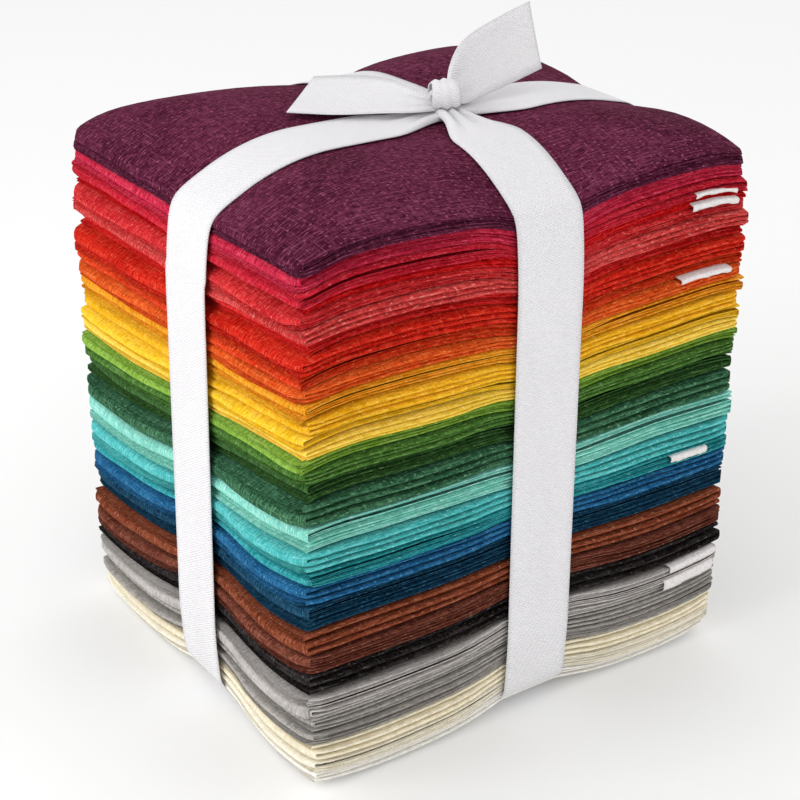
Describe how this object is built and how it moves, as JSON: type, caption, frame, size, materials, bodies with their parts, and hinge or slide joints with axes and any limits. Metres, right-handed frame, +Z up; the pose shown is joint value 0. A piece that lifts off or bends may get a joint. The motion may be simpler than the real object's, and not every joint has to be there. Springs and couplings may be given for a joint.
{
  "type": "fat quarter bundle",
  "caption": "Cube-like stack of folded quilting fabric cuts in rainbow order, tied crosswise with a white ribbon knotted on top.",
  "frame": {"origin": "centre of the underside, on the table the stack rests on", "axes": "+Z up; X along the folded width (six inch thirds), Y along the folded depth, with -Y the face on the right in the picture and -X the face on the left"},
  "size_m": [0.162, 0.143, 0.2065],
  "materials": {
    "cotton_ecru": "matt",
    "cotton_pale_cream": "matt",
    "cotton_cream": "matt",
    "cotton_pebble_grey": "matt",
    "cotton_mid_grey": "matt",
    "cotton_light_grey": "matt",
    "cotton_charcoal": "matt",
    "cotton_rust_brown": "matt",
    "cotton_rust_orange": "matt",
    "cotton_dark_teal": "matt",
    "cotton_royal_blue": "matt",
    "cotton_turquoise": "matt",
    "cotton_aqua": "matt",
    "cotton_mint": "matt",
    "cotton_teal_green": "matt",
    "cotton_forest_green": "matt",
    "cotton_leaf_green": "matt",
    "cotton_lime_green": "matt",
    "cotton_pale_yellow": "matt",
    "cotton_yellow": "matt",
    "cotton_amber": "matt",
    "cotton_gold": "matt",
    "cotton_salmon": "matt",
    "cotton_red_orange": "matt",
    "cotton_orange_red": "matt",
    "cotton_deep_red": "matt",
    "cotton_coral": "matt",
    "cotton_rose": "matt",
    "cotton_bright_red": "matt",
    "cotton_pink_red": "matt",
    "cotton_raspberry": "matt",
    "cotton_plum": "matt",
    "white_ribbon": "satin"
  },
  "bodies": {
    "root": {"fat_quarter_01_ecru": "cotton_ecru", "fat_quarter_02_pale_cream": "cotton_pale_cream", "fat_quarter_03_cream": "cotton_cream", "fat_quarter_04_pebble_grey": "cotton_pebble_grey", "fat_quarter_05_mid_grey": "cotton_mid_grey", "fat_quarter_06_light_grey": "cotton_light_grey", "fat_quarter_07_charcoal": "cotton_charcoal", "fat_quarter_08_rust_brown": "cotton_rust_brown", "fat_quarter_09_rust_orange": "cotton_rust_orange", "fat_quarter_10_dark_teal": "cotton_dark_teal", "fat_quarter_11_royal_blue": "cotton_royal_blue", "fat_quarter_12_turquoise": "cotton_turquoise", "fat_quarter_13_aqua": "cotton_aqua", "fat_quarter_14_mint": "cotton_mint", "fat_quarter_15_teal_green": "cotton_teal_green", "fat_quarter_16_forest_green": "cotton_forest_green", "fat_quarter_17_leaf_green": "cotton_leaf_green", "fat_quarter_18_lime_green": "cotton_lime_green", "fat_quarter_19_pale_yellow": "cotton_pale_yellow", "fat_quarter_20_yellow": "cotton_yellow", "fat_quarter_21_amber": "cotton_amber", "fat_quarter_22_gold": "cotton_gold", "fat_quarter_23_salmon": "cotton_salmon", "fat_quarter_24_red_orange": "cotton_red_orange", "fat_quarter_25_orange_red": "cotton_orange_red", "fat_quarter_26_deep_red": "cotton_deep_red", "fat_quarter_27_coral": "cotton_coral", "fat_quarter_28_rose": "cotton_rose", "fat_quarter_29_bright_red": "cotton_bright_red", "fat_quarter_30_pink_red": "cotton_pink_red", "fat_quarter_31_raspberry": "cotton_raspberry", "fat_quarter_32_plum": "cotton_plum", "ribbon_left_to_right": "white_ribbon", "ribbon_front_to_back": "white_ribbon", "ribbon_knot": "white_ribbon", "ribbon_tail_left": "white_ribbon", "ribbon_tail_right": "white_ribbon"}
  },
  "joints": []
}
